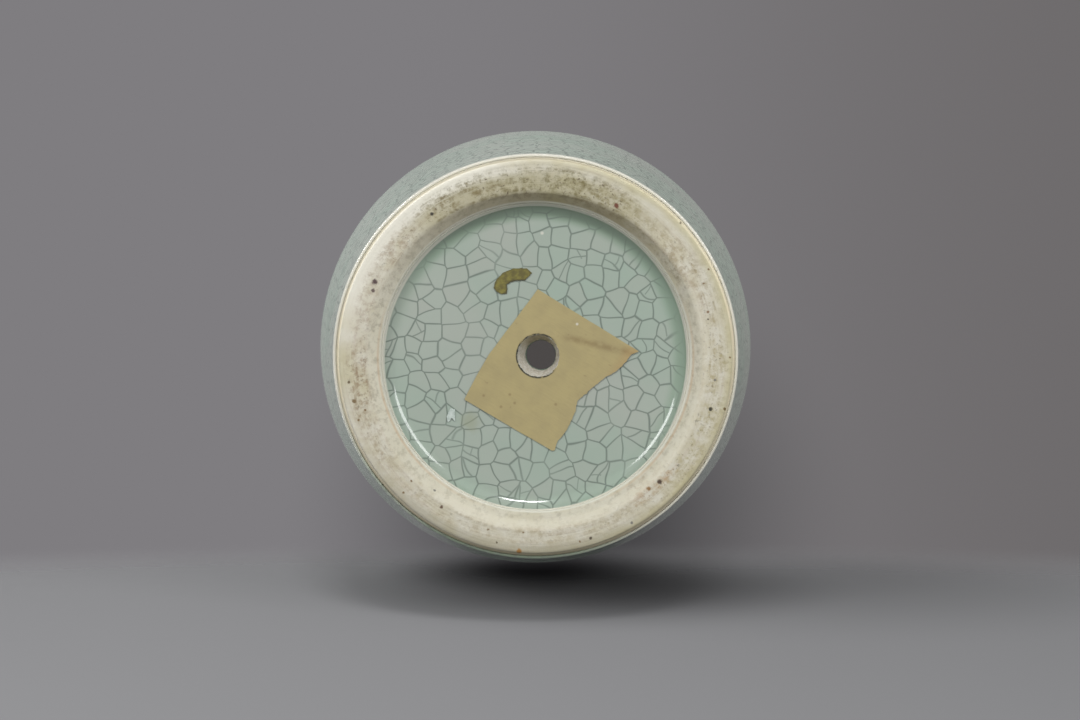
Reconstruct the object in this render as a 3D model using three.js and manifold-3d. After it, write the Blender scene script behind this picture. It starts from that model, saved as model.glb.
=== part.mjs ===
// Ovoid celadon vase with a crackled glaze, drilled through its base. Millimetres, +Z up.
// The origin is the middle of the foot ring's resting face, and the mouth is at the top.
import * as THREE from "three";
import { mergeVertices } from "three/addons/utils/BufferGeometryUtils.js";
import Module from "manifold-3d";

const wasm = await Module();
wasm.setup();

// Outer form, measured over the glaze
const FOOT_RADIUS = 75;
const BELLY_RADIUS = 104;
const NECK_RADIUS = 45;
const LIP_RADIUS = 56;
const GLAZE_LINE = 3; // height at which the outer glaze stops above the resting face
const BELLY_HEIGHT = 212;
const SHOULDER_RISE = 122; // from the belly to the narrowest part of the neck
const NECK_RISE = 31; // from there to the top of the lip
const FOOT_FLARE = THREE.MathUtils.degToRad(11); // lean of the wall as it leaves the foot
const LIP_FLARE = THREE.MathUtils.degToRad(38); // lean of the wall as it reaches the lip

// How full the curve is: each handle's length as a share of its stretch
const FOOT_PULL = 0.33;
const BELLY_PULL = 0.34;
const SHOULDER_PULL = 0.7;
const NECK_PULL = 0.09;
const LIP_PULL = 0.45;

// Thickness of the layers
const WALL_AT_FOOT = 8;
const WALL_AT_LIP = 5;
const GLAZE = 0.9;
const SLIP = 0.6;
const GAP = 0.15; // left open between layers that firing fuses

// Foot and base
const RING_WIDTH = 17.6; // of the foot ring, from its outer edge to the glaze inside it
const RING_BEVEL = 4.5; // width of the slope on the ring's inner edge
const RING_BEVEL_RISE = 4;
const RING_CHAMFER = 1.5; // width of the slope on the ring's outer edge
const RECESS_DEPTH = 9; // from the resting face up to the glazed underside
const BASE_THICKNESS = 9;
const COVE_RADIUS = 5; // of the glaze pooled in the corner under the base
const COVE_SWEEP = THREE.MathUtils.degToRad(70);
const POOL_WIDTH = 4; // of the glaze pooled in the corner inside

// Stepped seams between the thrown sections
const SEAM_LAP = 5; // height of the inner tongue

// Drilled hole, wide where the drill went in
const BORE_FACE_RADIUS = 7.9;
const BORE_EXIT_RADIUS = 5.6;
const BORE_X = 1;
const BORE_Y = -0.4;
const BORE_LEAN = THREE.MathUtils.degToRad(5.5);
const BORE_OVERSHOOT = 2;

// Paper on the underside
const PAPER = 0.25;
const TAPE_LENGTH = 44.6;
const TAPE_WIDTH = 49.9;
const TAPE_TURN = THREE.MathUtils.degToRad(30.4);
const TAPE_SKEW = 3; // how far the cut end is out of square
const TAPE_HOLE_ALONG = 12.8; // the hole's middle from the tape's cut corner
const TAPE_HOLE_ACROSS = 21.6;
// The torn end: how far it falls short of the tape's length, at a share of its width
const TAPE_TEAR = [
  [5.7, 0.31],
  [10.5, 0.57],
  [8, 0.78],
  [8.8, 1],
];
const LABEL_RADIUS = 11.2;
const LABEL_BAND = 4.3;
const LABEL_X = -5.7;
const LABEL_Y = -22;
const LABEL_START = THREE.MathUtils.degToRad(-157);
const LABEL_END = THREE.MathUtils.degToRad(-63);
const FLECK_X = -32.1;
const FLECK_Y = 21.8;
const FLECK_LENGTH = 4.4;
const FLECK_WIDTH = 3;
const FLECK_TURN = THREE.MathUtils.degToRad(65);

// Finishes
const CLAY = { color: 0xc4bda6, roughness: 0.85 };
const SLIP_CLAY = { color: 0xd6d0bf, roughness: 0.9 };
const CELADON = { color: 0x94a193, roughness: 0.12 };
const TAPE_PAPER = { color: 0xab9e73, roughness: 0.8 };
const LABEL_PAPER = { color: 0x706c3f, roughness: 0.7 };
const WHITE_PAPER = { color: 0xdfe1dc, roughness: 0.8 };

// Facets
const SIDES = 40;
const LOWER_STEPS = 5;
const UPPER_STEPS = 8;
const NECK_STEPS = 3;
const LIP_STEPS = 3;
const COVE_STEPS = 4;
const BORE_SIDES = 24;
const PAPER_STEPS = 8;

const at = (radius, height) => new THREE.Vector2(radius, height);

// Heights up the axis, from the resting face
const neckHeight = BELLY_HEIGHT + SHOULDER_RISE;
const height = neckHeight + NECK_RISE;
const discBottom = RECESS_DEPTH + GLAZE + GAP;
const discTop = discBottom + BASE_THICKNESS;
const ledge = discBottom - GAP - SLIP - GAP;
const floorBottom = discTop + GAP;
const floorTop = floorBottom + GLAZE;
const ringInnerRadius = FOOT_RADIUS - RING_WIDTH;

// The lip is round: its layers are arcs about one centre, halfway through the wall
const lipReach = WALL_AT_LIP / 2 + GAP + GLAZE;
const lipCentre = at(LIP_RADIUS - lipReach, height - lipReach);
const lipAlong = at(Math.sin(LIP_FLARE), Math.cos(LIP_FLARE));
const lipAcross = at(lipAlong.y, -lipAlong.x);
const lipEdge = lipCentre.clone().addScaledVector(lipAcross, lipReach); // where the outside meets the lip

function lipArc(radius, start, end) {
  return Array.from({ length: LIP_STEPS + 1 }, (_, i) => {
    const angle = THREE.MathUtils.lerp(start, end, i / LIP_STEPS);
    return lipCentre
      .clone()
      .addScaledVector(lipAcross, radius * Math.cos(angle))
      .addScaledVector(lipAlong, radius * Math.sin(angle));
  });
}

// The outside of the vase as three curves that join smoothly: foot to belly, belly to neck, neck to lip
function outsideCurves() {
  const foot = at(FOOT_RADIUS, GLAZE_LINE);
  const belly = at(BELLY_RADIUS, BELLY_HEIGHT);
  const neck = at(NECK_RADIUS, neckHeight);
  const lowerRise = BELLY_HEIGHT - GLAZE_LINE;
  const neckPull = LIP_PULL * (lipEdge.y - neckHeight);
  const footAlong = at(Math.sin(FOOT_FLARE), Math.cos(FOOT_FLARE));
  const lower = new THREE.CubicBezierCurve(
    foot,
    foot.clone().addScaledVector(footAlong, FOOT_PULL * lowerRise),
    at(BELLY_RADIUS, BELLY_HEIGHT - BELLY_PULL * lowerRise),
    belly,
  );
  const upper = new THREE.CubicBezierCurve(
    belly,
    at(BELLY_RADIUS, BELLY_HEIGHT + SHOULDER_PULL * SHOULDER_RISE),
    at(NECK_RADIUS, neckHeight - NECK_PULL * SHOULDER_RISE),
    neck,
  );
  const mouth = new THREE.CubicBezierCurve(
    neck,
    at(NECK_RADIUS, neckHeight + neckPull),
    lipEdge.clone().addScaledVector(lipAlong, -neckPull),
    lipEdge,
  );
  return [
    [lower, LOWER_STEPS],
    [upper, UPPER_STEPS],
    [mouth, NECK_STEPS],
  ];
}

// Stations up the outside, each with its point, its outward direction and the clay wall's thickness there
const stations = outsideCurves().flatMap(([curve, steps], part) => {
  const first = part === 0 ? 0 : 1;
  return Array.from({ length: steps + 1 - first }, (_, i) => {
    const share = (i + first) / steps;
    const point = curve.getPoint(share);
    const along = curve.getTangent(share);
    const outward = at(along.y, -along.x);
    const wall = THREE.MathUtils.lerp(WALL_AT_FOOT, WALL_AT_LIP, point.y / lipEdge.y);
    return { point, outward, wall };
  });
});

// A layer of the vase: the outside moved in by so much glaze and so many gaps, and past the wall or not
function layer(coats, gaps, walls) {
  return stations.map(({ point, outward, wall }) =>
    point.clone().addScaledVector(outward, -(coats * GLAZE + gaps * GAP + walls * wall)),
  );
}

const outside = layer(0, 0, 0);
const outerGlazeBack = layer(1, 0, 0);
const clayOutside = layer(1, 1, 0);
const clayInside = layer(1, 1, 1);
const innerGlazeBack = layer(1, 2, 1);
const inside = layer(2, 2, 1);

// The radius of a layer at a height, carried on straight past its ends
function radiusAt(curve, z) {
  const above = curve.findIndex((point) => point.y > z);
  const upper = above < 0 ? curve.length - 1 : Math.max(above, 1);
  const a = curve[upper - 1];
  const b = curve[upper];
  return THREE.MathUtils.mapLinear(z, a.y, b.y, a.x, b.x);
}

const onLayer = (curve, z) => at(radiusAt(curve, z), z);

// The stretch of a layer between two heights, going up
function stretch(curve, low, high) {
  const middle = curve.filter((point) => point.y > low && point.y < high);
  return [onLayer(curve, low), ...middle, onLayer(curve, high)];
}

// The part of a layer above a height, going up
const above = (curve, low) => [onLayer(curve, low), ...curve.filter((point) => point.y > low)];

// A seam's face through the wall, from outside to inside, moved up and out by an offset.
// A stepped seam has a tongue on the inner half of the lower section.
function seamFace({ z, lap }, offset) {
  const low = z + offset;
  if (!lap) return [onLayer(clayOutside, low), onLayer(clayInside, low)];
  const high = low + lap;
  const middle = (radiusAt(clayOutside, z) + radiusAt(clayInside, z)) / 2 + offset;
  return [onLayer(clayOutside, low), at(middle, low), at(middle, high), onLayer(clayInside, high)];
}

const footSeam = { z: discTop + GAP + SLIP / 2, lap: 0 };
const bellySeam = { z: BELLY_HEIGHT, lap: SEAM_LAP };
const neckSeam = { z: neckHeight - SEAM_LAP / 2, lap: SEAM_LAP };
const seamHalf = SLIP / 2 + GAP; // from the middle of a seam to the clay on either side

// Sections below are closed outlines in radius and height, counter-clockwise

function slipSection(seam) {
  return [...seamFace(seam, -SLIP / 2).reverse(), ...seamFace(seam, SLIP / 2)];
}

function wallSection(lowerSeam, upperSeam) {
  const bottom = seamFace(lowerSeam, seamHalf);
  const top = seamFace(upperSeam, -seamHalf);
  const outer = stretch(clayOutside, bottom[0].y, top[0].y);
  const inner = stretch(clayInside, bottom.at(-1).y, top.at(-1).y);
  return [...outer, ...top.slice(1, -1), ...inner.reverse(), ...bottom.slice(1, -1).reverse()];
}

function neckSection() {
  const bottom = seamFace(neckSeam, seamHalf);
  const outer = above(clayOutside, bottom[0].y);
  const inner = above(clayInside, bottom.at(-1).y);
  const lip = lipArc(WALL_AT_LIP / 2, 0, Math.PI).slice(1, -1);
  return [...outer, ...lip, ...inner.reverse(), ...bottom.slice(1, -1).reverse()];
}

function footSection() {
  const rebate = radiusAt(clayInside, discTop);
  const chamferTop = clayOutside[0];
  return [
    at(ringInnerRadius + RING_BEVEL, 0),
    at(chamferTop.x - RING_CHAMFER, 0),
    ...stretch(clayOutside, chamferTop.y, discTop),
    at(rebate, discTop),
    at(rebate, ledge),
    at(ringInnerRadius, ledge),
    at(ringInnerRadius, RING_BEVEL_RISE),
  ];
}

function discSection() {
  const rim = radiusAt(clayInside, discTop) - GAP;
  return [at(0, discBottom), at(rim, discBottom), at(rim, discTop), at(0, discTop)];
}

function baseSlipSection() {
  const rim = radiusAt(clayInside, discTop) - GAP;
  const low = ledge + GAP;
  const high = low + SLIP;
  return [at(ringInnerRadius, low), at(rim, low), at(rim, high), at(ringInnerRadius, high)];
}

function baseGlazeSection() {
  const rim = ringInnerRadius - GAP;
  const cove = Array.from({ length: COVE_STEPS + 1 }, (_, i) => {
    const angle = (COVE_SWEEP * i) / COVE_STEPS;
    return at(
      rim - COVE_RADIUS * (1 - Math.sin(angle)),
      RECESS_DEPTH - COVE_RADIUS * (1 - Math.cos(angle)),
    );
  });
  const top = RECESS_DEPTH + GLAZE;
  return [at(0, RECESS_DEPTH), ...cove, at(rim, cove.at(-1).y), at(rim, top), at(0, top)];
}

// The two coats meet on the crest of the lip, with the gap between their ends
const crestGap = GAP / 2 / lipReach;

function outerGlazeSection() {
  const crest = Math.PI / 2 - crestGap;
  return [
    ...outside,
    ...lipArc(lipReach, 0, crest).slice(1),
    ...lipArc(lipReach - GLAZE, crest, 0).slice(0, -1),
    ...outerGlazeBack.toReversed(),
  ];
}

function innerGlazeSection() {
  const crest = Math.PI / 2 + crestGap;
  const poolTop = floorTop + POOL_WIDTH;
  return [
    at(0, floorBottom),
    ...above(innerGlazeBack, floorBottom),
    ...lipArc(lipReach - GLAZE, Math.PI, crest).slice(1),
    ...lipArc(lipReach, crest, Math.PI).slice(0, -1),
    ...above(inside, poolTop).reverse(),
    at(radiusAt(inside, floorTop) - POOL_WIDTH, floorTop),
    at(0, floorTop),
  ];
}

// A section turned about the vase's axis. One that starts on the axis ends on it too.
function turned(section) {
  const outline = section[0].x === 0 ? section : [...section, section[0]];
  return new THREE.LatheGeometry(outline, SIDES).rotateX(Math.PI / 2);
}

function solid(geometry) {
  const bare = geometry.clone().deleteAttribute("normal").deleteAttribute("uv");
  const merged = mergeVertices(bare);
  const mesh = new wasm.Mesh({
    numProp: 3,
    vertProperties: merged.attributes.position.array,
    triVerts: new Uint32Array(merged.index.array),
  });
  return new wasm.Manifold(mesh);
}

// A geometry with the drilled hole cut through it. The drill's cone leans a little to one side.
function drilled(geometry) {
  const depth = floorTop - RECESS_DEPTH;
  const taper = (BORE_FACE_RADIUS - BORE_EXIT_RADIUS) / depth;
  const length = depth + 2 * BORE_OVERSHOOT;
  const wide = BORE_FACE_RADIUS + taper * BORE_OVERSHOOT;
  const narrow = BORE_EXIT_RADIUS - taper * BORE_OVERSHOOT;
  const cone = new THREE.CylinderGeometry(narrow, wide, length, BORE_SIDES)
    .rotateX(Math.PI / 2)
    .translate(0, 0, length / 2 - BORE_OVERSHOOT)
    .rotateY(BORE_LEAN)
    .translate(BORE_X, BORE_Y, RECESS_DEPTH);
  const cut = solid(geometry).subtract(solid(cone)).getMesh();
  return new THREE.BufferGeometry()
    .setAttribute("position", new THREE.BufferAttribute(cut.vertProperties, 3))
    .setIndex(new THREE.BufferAttribute(cut.triVerts, 1));
}

// A flat piece of paper stuck to the glazed underside
function paper(shape) {
  const options = { depth: PAPER, bevelEnabled: false, curveSegments: PAPER_STEPS };
  return new THREE.ExtrudeGeometry(shape, options).translate(0, 0, RECESS_DEPTH - GAP - PAPER);
}

// The tape's length runs along X and its width along Y, from its cut corner
function tapeShape() {
  const shape = new THREE.Shape().moveTo(0, 0).lineTo(TAPE_LENGTH, 0);
  for (const [short, share] of TAPE_TEAR) shape.lineTo(TAPE_LENGTH - short, share * TAPE_WIDTH);
  shape.lineTo(-TAPE_SKEW, TAPE_WIDTH).closePath();
  const hole = new THREE.Path();
  hole.absarc(TAPE_HOLE_ALONG, TAPE_HOLE_ACROSS, BORE_FACE_RADIUS, 0, 2 * Math.PI, true);
  shape.holes.push(hole);
  return shape;
}

function tape() {
  return paper(tapeShape())
    .translate(-TAPE_HOLE_ALONG, -TAPE_HOLE_ACROSS, 0)
    .rotateZ(TAPE_TURN)
    .translate(BORE_X, BORE_Y, 0);
}

function label() {
  const shape = new THREE.Shape();
  shape.absarc(0, 0, LABEL_RADIUS, LABEL_START, LABEL_END, false);
  shape.absarc(0, 0, LABEL_RADIUS - LABEL_BAND, LABEL_END, LABEL_START, true);
  return paper(shape.closePath()).translate(LABEL_X, LABEL_Y, 0);
}

function fleck() {
  const shape = new THREE.Shape();
  shape.absellipse(0, 0, FLECK_LENGTH / 2, FLECK_WIDTH / 2, 0, 2 * Math.PI, false, FLECK_TURN);
  return paper(shape).translate(FLECK_X, FLECK_Y, 0);
}

function piece(name, geometry, finish) {
  const material = new THREE.MeshStandardMaterial({ ...finish, metalness: 0 });
  const mesh = new THREE.Mesh(geometry, material);
  mesh.name = name;
  return mesh;
}

const clay = new THREE.Group().add(
  piece("foot_ring", turned(footSection()), CLAY),
  piece("base_disc", drilled(turned(discSection())), CLAY),
  piece("lower_body", turned(wallSection(footSeam, bellySeam)), CLAY),
  piece("upper_body", turned(wallSection(bellySeam, neckSeam)), CLAY),
  piece("neck", turned(neckSection()), CLAY),
);

const slip = new THREE.Group().add(
  piece("base_slip", turned(baseSlipSection()), SLIP_CLAY),
  piece("foot_slip", turned(slipSection(footSeam)), SLIP_CLAY),
  piece("belly_slip", turned(slipSection(bellySeam)), SLIP_CLAY),
  piece("neck_slip", turned(slipSection(neckSeam)), SLIP_CLAY),
);

const glaze = new THREE.Group().add(
  piece("outer_glaze", turned(outerGlazeSection()), CELADON),
  piece("inner_glaze", drilled(turned(innerGlazeSection())), CELADON),
  piece("base_glaze", drilled(turned(baseGlazeSection())), CELADON),
);

const stuckOn = new THREE.Group().add(
  piece("tape_patch", tape(), TAPE_PAPER),
  piece("label_remnant", label(), LABEL_PAPER),
  piece("paper_fleck", fleck(), WHITE_PAPER),
);

const vase = new THREE.Group().add(clay, slip, glaze, stuckOn);

export default vase;
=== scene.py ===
"""Dresses the drilled celadon vase: its glaze coats, turned foot, drilled hole and the paper under its base.

Metres, +Z up, in the CAD model's frame. The vase stands on its foot. The camera looks at its underside,
almost along the axis, with -Y at the top of the picture and +X to the right.
"""

import math
from functools import partialmethod

import bmesh
import bpy
import numpy as np
from mathutils import Matrix, Vector, noise


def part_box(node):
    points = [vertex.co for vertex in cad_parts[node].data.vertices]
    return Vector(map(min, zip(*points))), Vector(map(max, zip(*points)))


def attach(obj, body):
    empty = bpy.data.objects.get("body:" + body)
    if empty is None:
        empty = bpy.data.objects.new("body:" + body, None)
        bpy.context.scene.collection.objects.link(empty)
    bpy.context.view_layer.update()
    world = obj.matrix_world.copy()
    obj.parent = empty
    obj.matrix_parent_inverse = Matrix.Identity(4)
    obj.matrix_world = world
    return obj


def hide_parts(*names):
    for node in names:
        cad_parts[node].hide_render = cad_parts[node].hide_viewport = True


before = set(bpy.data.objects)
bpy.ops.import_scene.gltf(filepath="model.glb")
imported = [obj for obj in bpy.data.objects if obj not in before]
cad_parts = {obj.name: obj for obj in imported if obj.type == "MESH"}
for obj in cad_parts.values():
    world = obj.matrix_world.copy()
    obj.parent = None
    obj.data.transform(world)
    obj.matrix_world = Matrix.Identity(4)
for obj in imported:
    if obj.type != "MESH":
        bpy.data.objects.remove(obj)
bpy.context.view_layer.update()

# Outer form, measured over the glaze
FOOT_RADIUS = 0.075
BELLY_RADIUS = 0.104
NECK_RADIUS = 0.045
LIP_RADIUS = 0.056
GLAZE_LINE = 0.003  # height at which the outer glaze stops above the resting face
BELLY_HEIGHT = 0.212
SHOULDER_RISE = 0.122
NECK_RISE = 0.031
FOOT_FLARE = math.radians(11)
LIP_FLARE = math.radians(38)

# How full the curve is: each handle's length as a share of its stretch
FOOT_PULL = 0.33
BELLY_PULL = 0.34
SHOULDER_PULL = 0.7
NECK_PULL = 0.09
LIP_PULL = 0.45

# Thickness of the layers
WALL_AT_FOOT = 0.008
WALL_AT_LIP = 0.005
GLAZE = 0.0009
GAP = 0.00015

# Foot and base
RING_WIDTH = 0.0176
RING_BEVEL = 0.0045
RING_BEVEL_RISE = 0.004
RING_CHAMFER = 0.0015
RECESS_DEPTH = 0.009
COVE_RADIUS = 0.005
COVE_SWEEP = math.radians(70)
POOL_WIDTH = 0.004

# Drilled hole
BORE_FACE_RADIUS = 0.0079
BORE_EXIT_RADIUS = 0.0056
BORE_AT = (0.001, -0.0004)
BORE_LEAN = math.radians(5.5)

# Paper on the underside
PAPER = 0.00025
TAPE_LENGTH = 0.0446
TAPE_TURN = math.radians(30.4)
TAPE_HOLE = np.array([0.0128, 0.0216])

# Edges of the paper in millimetres: along and across the tape, and in the plan of the underside
TAPE_TORN = ((44.5, 1.1), (42.5, 3.6), (42, 8.8), (40.1, 13.7), (38.6, 15.4), (36.8, 20.2))
TAPE_TORN += ((34, 28.7), (35.3, 32.3), (36.1, 41), (35.3, 45.2), (35.9, 49))
TAPE_CUT = ((35, 49.8), (-2.9, 49.8), (-3.4, 38.7), (-3.4, 30.3), (-1.5, 13.8), (0, 0.2))
LABEL_OUTER = ((-14.6, -24.4), (-15.8, -26), (-14.7, -29), (-12.2, -31.5), (-8.2, -33.2))
LABEL_OUTER += ((-3.2, -33), (-1.3, -31.7))
LABEL_INNER = ((-12.6, -23.5), (-10.6, -23.8), (-10.8, -27.2), (-9.4, -27.8), (-6.9, -28.6))
LABEL_INNER += ((-4.2, -28.5), (-1.6, -31.2))
FLECK_EDGE = ((-31.8, 19.2), (-30.4, 19.8), (-30.3, 23.3), (-30.4, 24.2), (-31, 24), (-31.5, 22.8))
FLECK_EDGE += ((-32.2, 24), (-32.8, 24.5), (-33.2, 23.7), (-33.4, 22.3), (-32.9, 21.3), (-32.3, 19.8))
MILLIMETRE = 0.001

# Unevenness in layers of noise, each with its depth, size across and seed
THROWING_WANDER = ((3, 0.05, 1),)
GLAZE_WAVE = ((0.0001, 0.018, 2),)
HOLE_CHIPS = ((0.0003, 0.0016, 3),)
BORE_WALL = ((0.00018, 0.0022, 4), (0.0001, 0.0008, 5))
GROOVE_WANDER = ((2, 0.02, 6),)
PITS = ((1, 0.0019, 7),)
WEAR = ((1, 0.012, 8),)
TORN_EDGE = ((0.0003, 0.003, 9), (0.0003, 0.0009, 10))
CUT_EDGE = ((0.00012, 0.006, 11),)
DRILLED_EDGE = ((0.00025, 0.004, 12), (0.0002, 0.0012, 13))
LABEL_EDGE_X = ((0.0002, 0.003, 15), (0.0002, 0.001, 17))
LABEL_EDGE_Y = ((0.0002, 0.003, 16), (0.0002, 0.001, 18))
FLECK_RAGGED = ((0.1, 0.2, 20),)  # as a share of its reach

# Waves in the paper: depth, size across and seed
TAPE_RIPPLE = (0.00006, 0.007, 14)
LABEL_RIPPLE = (0.00005, 0.004, 19)
FLECK_RIPPLE = (0.00012, 0.0012, 22)
CURL_LIFT = 0.0004  # of the tape's tip
CURL_START = 0.6 * TAPE_LENGTH

# Marks of the potter's fingers, the turning tool and wear
THROWING_STEP = 0.0075
THROWING_DEPTH = 0.00005
GROOVE_STEP = 0.0011
GROOVE_DEPTH = 0.00006
TURNED_RISE = 0.003  # height at which the turning lines have died out
WEAR_DEPTH = 0.00006
PIT_DEPTH = 0.0004
PIT_SHARE = 0.45  # of the noise, below which there is no pit
BEVEL_TOP = 0.0008  # how much narrower the bevel is towards -Y, and wider towards +Y and -X
BEVEL_LOW = 0.0018
BEVEL_LEFT = 0.0009
FOOT_ROUNDING = (0.0013, 0.0009, 0.0002, 0, 0, 0, 0, 0.0009)  # of each corner in turn
HOLE_WEAR = 0.002  # how far the drill's marks reach from the hole's edge

# Fineness of the meshes
BODY_SIDES = 240
FOOT_SIDES = 480
TAPE_SIDES = 600
FLECK_SIDES = 144
LOWER_STEPS = 40
UPPER_STEPS = 48
MOUTH_STEPS = 16
COVE_STEPS = 18
POOL_STEPS = 10
HEM_STEPS = 9
BASE_RINGS = 40
FLOOR_RINGS = 24
UNDERSIDE_RINGS = 12
HIDDEN_RINGS = 8
BORE_RINGS = 24
TAPE_ROWS = 26
LABEL_POINTS = 90
LABEL_ROWS = 12
FLECK_ROWS = 10
FLECK_START = 0.05  # share of the fleck's reach at which its rows start
FINE_STEP = 0.00035
SHARP = math.radians(50)
CELL_SPLIT = 0.292  # height above which the crackle has cells for a narrower vase
LEAST_REACH = 4 * BORE_FACE_RADIUS  # least radius that the crackle's rise is measured in
SEED_STEP = (17.3, 5.1, 9.7)

# Heights up the axis and radii that the sizes above set
disc_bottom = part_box("base_disc")[0].z
disc_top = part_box("base_disc")[1].z
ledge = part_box("base_slip")[0].z - GAP
floor_bottom = disc_top + GAP
floor_top = floor_bottom + GLAZE
disc_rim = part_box("base_disc")[1].x
ring_inner = FOOT_RADIUS - RING_WIDTH
base_rim = ring_inner - GAP
neck_height = BELLY_HEIGHT + SHOULDER_RISE
height = neck_height + NECK_RISE
paper_z = RECESS_DEPTH - GAP - PAPER


def at(radius, z):
    return np.array([radius, z])


def heading(lean):
    """The way up a wall that leans out by so much."""
    return at(math.sin(lean), math.cos(lean))


def curve(a, b, c, d, count):
    """Points along a cubic curve, without its end."""
    t = np.linspace(0, 1, count, endpoint=False)[:, None]
    return (1 - t) ** 3 * a + 3 * (1 - t) ** 2 * t * b + 3 * (1 - t) * t**2 * c + t**3 * d


# The lip is round: its layers are arcs about one centre, halfway through the wall
lip_reach = WALL_AT_LIP / 2 + GAP + GLAZE
lip_centre = at(LIP_RADIUS - lip_reach, height - lip_reach)
lip_along = heading(LIP_FLARE)
lip_across = at(lip_along[1], -lip_along[0])
lip_edge = lip_centre + lip_reach * lip_across


def lip_arc(radius, start, end, count=12):
    angles = np.linspace(start, end, count)[:, None]
    return lip_centre + radius * (np.cos(angles) * lip_across + np.sin(angles) * lip_along)


def outside():
    """The outside of the vase, from the foot to where the lip starts to round over."""
    foot = at(FOOT_RADIUS, GLAZE_LINE)
    belly = at(BELLY_RADIUS, BELLY_HEIGHT)
    neck = at(NECK_RADIUS, neck_height)
    up = at(0, 1)
    rise = BELLY_HEIGHT - GLAZE_LINE
    flare = FOOT_PULL * rise * heading(FOOT_FLARE)
    shoulder = SHOULDER_PULL * SHOULDER_RISE * up
    pull = LIP_PULL * (lip_edge[1] - neck_height)
    lower = curve(foot, foot + flare, belly - BELLY_PULL * rise * up, belly, LOWER_STEPS)
    upper = curve(belly, belly + shoulder, neck - NECK_PULL * SHOULDER_RISE * up, neck, UPPER_STEPS)
    mouth = curve(neck, neck + pull * up, lip_edge - pull * lip_along, lip_edge, MOUTH_STEPS)
    return np.concatenate([lower, upper, mouth, [lip_edge]])


def outward(line):
    """The outward direction at each point of a line that goes up the outside."""
    along = np.gradient(line, axis=0)
    along /= np.linalg.norm(along, axis=1)[:, None]
    return np.stack([along[:, 1], -along[:, 0]], axis=1)


def half_round(a, b, count=7):
    """The points between a and b on a half circle that bulges to the right."""
    middle = (a + b) / 2
    arm = a - middle
    turn = np.linspace(0, math.pi, count)[1:-1, None]
    return middle + np.cos(turn) * arm + np.sin(turn) * at(-arm[1], arm[0])


def rounded(corners, radii, count=6):
    """A closed outline with each corner rounded off that far from it."""
    corners = np.array(corners)
    points = []
    for i, radius in enumerate(radii):
        corner = corners[i]
        before = corners[i - 1] - corner
        after = corners[(i + 1) % len(corners)] - corner
        start = corner + radius * before / np.linalg.norm(before)
        end = corner + radius * after / np.linalg.norm(after)
        for t in np.linspace(0, 1, count if radius else 1):
            points.append((1 - t) ** 2 * start + 2 * t * (1 - t) * corner + t**2 * end)
    return np.array(points)


def on_axis(outline):
    """Rings about the axis, each as x, y, radius and height."""
    return [(0, 0, radius, z) for radius, z in outline]


def bore_ring(z):
    """The drilled hole's edge at a height."""
    depth = z - RECESS_DEPTH
    share = depth / (floor_top - RECESS_DEPTH)
    radius = BORE_FACE_RADIUS + share * (BORE_EXIT_RADIUS - BORE_FACE_RADIUS)
    return np.array([BORE_AT[0] + depth * math.tan(BORE_LEAN), BORE_AT[1], radius, z])


def spread(z, radius, count):
    """Rings in a flat face, from the drilled hole's edge out to a radius."""
    inner = bore_ring(z)
    outer = np.array([0, 0, radius, z])
    return [tuple(inner + share * (outer - inner)) for share in np.linspace(0, 1, count)]


def turns(count):
    return np.linspace(0, 2 * math.pi, count, endpoint=False)


def rays(angles):
    return np.stack([np.cos(angles), np.sin(angles)], axis=1)


def loops_of(rings, sides):
    """The points round each ring."""
    rings = np.array(rings)
    turn = turns(sides)
    x = rings[:, 0, None] + rings[:, 2, None] * np.cos(turn)
    y = rings[:, 1, None] + rings[:, 2, None] * np.sin(turn)
    z = np.repeat(rings[:, 3, None], sides, axis=1)
    return np.stack([x, y, z], axis=-1)


def raised(points, z=0.0):
    """Points of a plan at a height, or each at its own."""
    heights = np.broadcast_to(z, points.shape[:-1])
    return np.concatenate([points, heights[..., None]], axis=-1)


def hills(points, size, seed):
    """Smooth noise from -1 to 1 at each point, with hills about that size across."""
    shift = Vector([seed * step for step in SEED_STEP])
    flat = points.reshape(-1, 3) / size
    return np.array([noise.noise(Vector(p) + shift) for p in flat]).reshape(points.shape[:-1])


def rough(points, layers):
    """The sum of some layers of noise at each point."""
    return sum(depth * hills(points, size, seed) for depth, size, seed in layers)


def ripple(points, depth, size, seed):
    """Smooth waves from 0 to twice the depth."""
    return depth * (1 + hills(points, size, seed))


def new_object(name, data):
    made = bpy.data.objects.new(name, data)
    bpy.context.scene.collection.objects.link(made)
    return made


def loops_mesh(name, loops, closed=True):
    """A closed mesh through loops of points. The last loop joins the first, or else both ends are capped."""
    count, sides = loops.shape[:2]
    here = np.arange(count if closed else count - 1)[:, None] * sides
    there = (here + sides) % (count * sides)
    side = np.arange(sides)[None, :]
    after = (side + 1) % sides
    quads = np.stack([here + side, here + after, there + after, there + side], axis=-1)
    faces = quads.reshape(-1, 4).tolist()
    if not closed:
        faces.append(list(range(sides)))
        faces.append(list(range((count - 1) * sides, count * sides)))
    mesh = bpy.data.meshes.new(name)
    mesh.from_pydata(loops.reshape(-1, 3).tolist(), [], faces)
    shell = bmesh.new()
    shell.from_mesh(mesh)
    bmesh.ops.recalc_face_normals(shell, faces=shell.faces)
    shell.to_mesh(mesh)
    shell.free()
    mesh.shade_smooth()
    mesh.set_sharp_from_angle(angle=SHARP)
    return new_object(name, mesh)


def note(piece, name, values):
    """Keeps a number at each of a piece's points."""
    attribute = piece.data.attributes.new(name, "FLOAT", "POINT")
    attribute.data.foreach_set("value", values.ravel().astype(np.float32))


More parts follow.
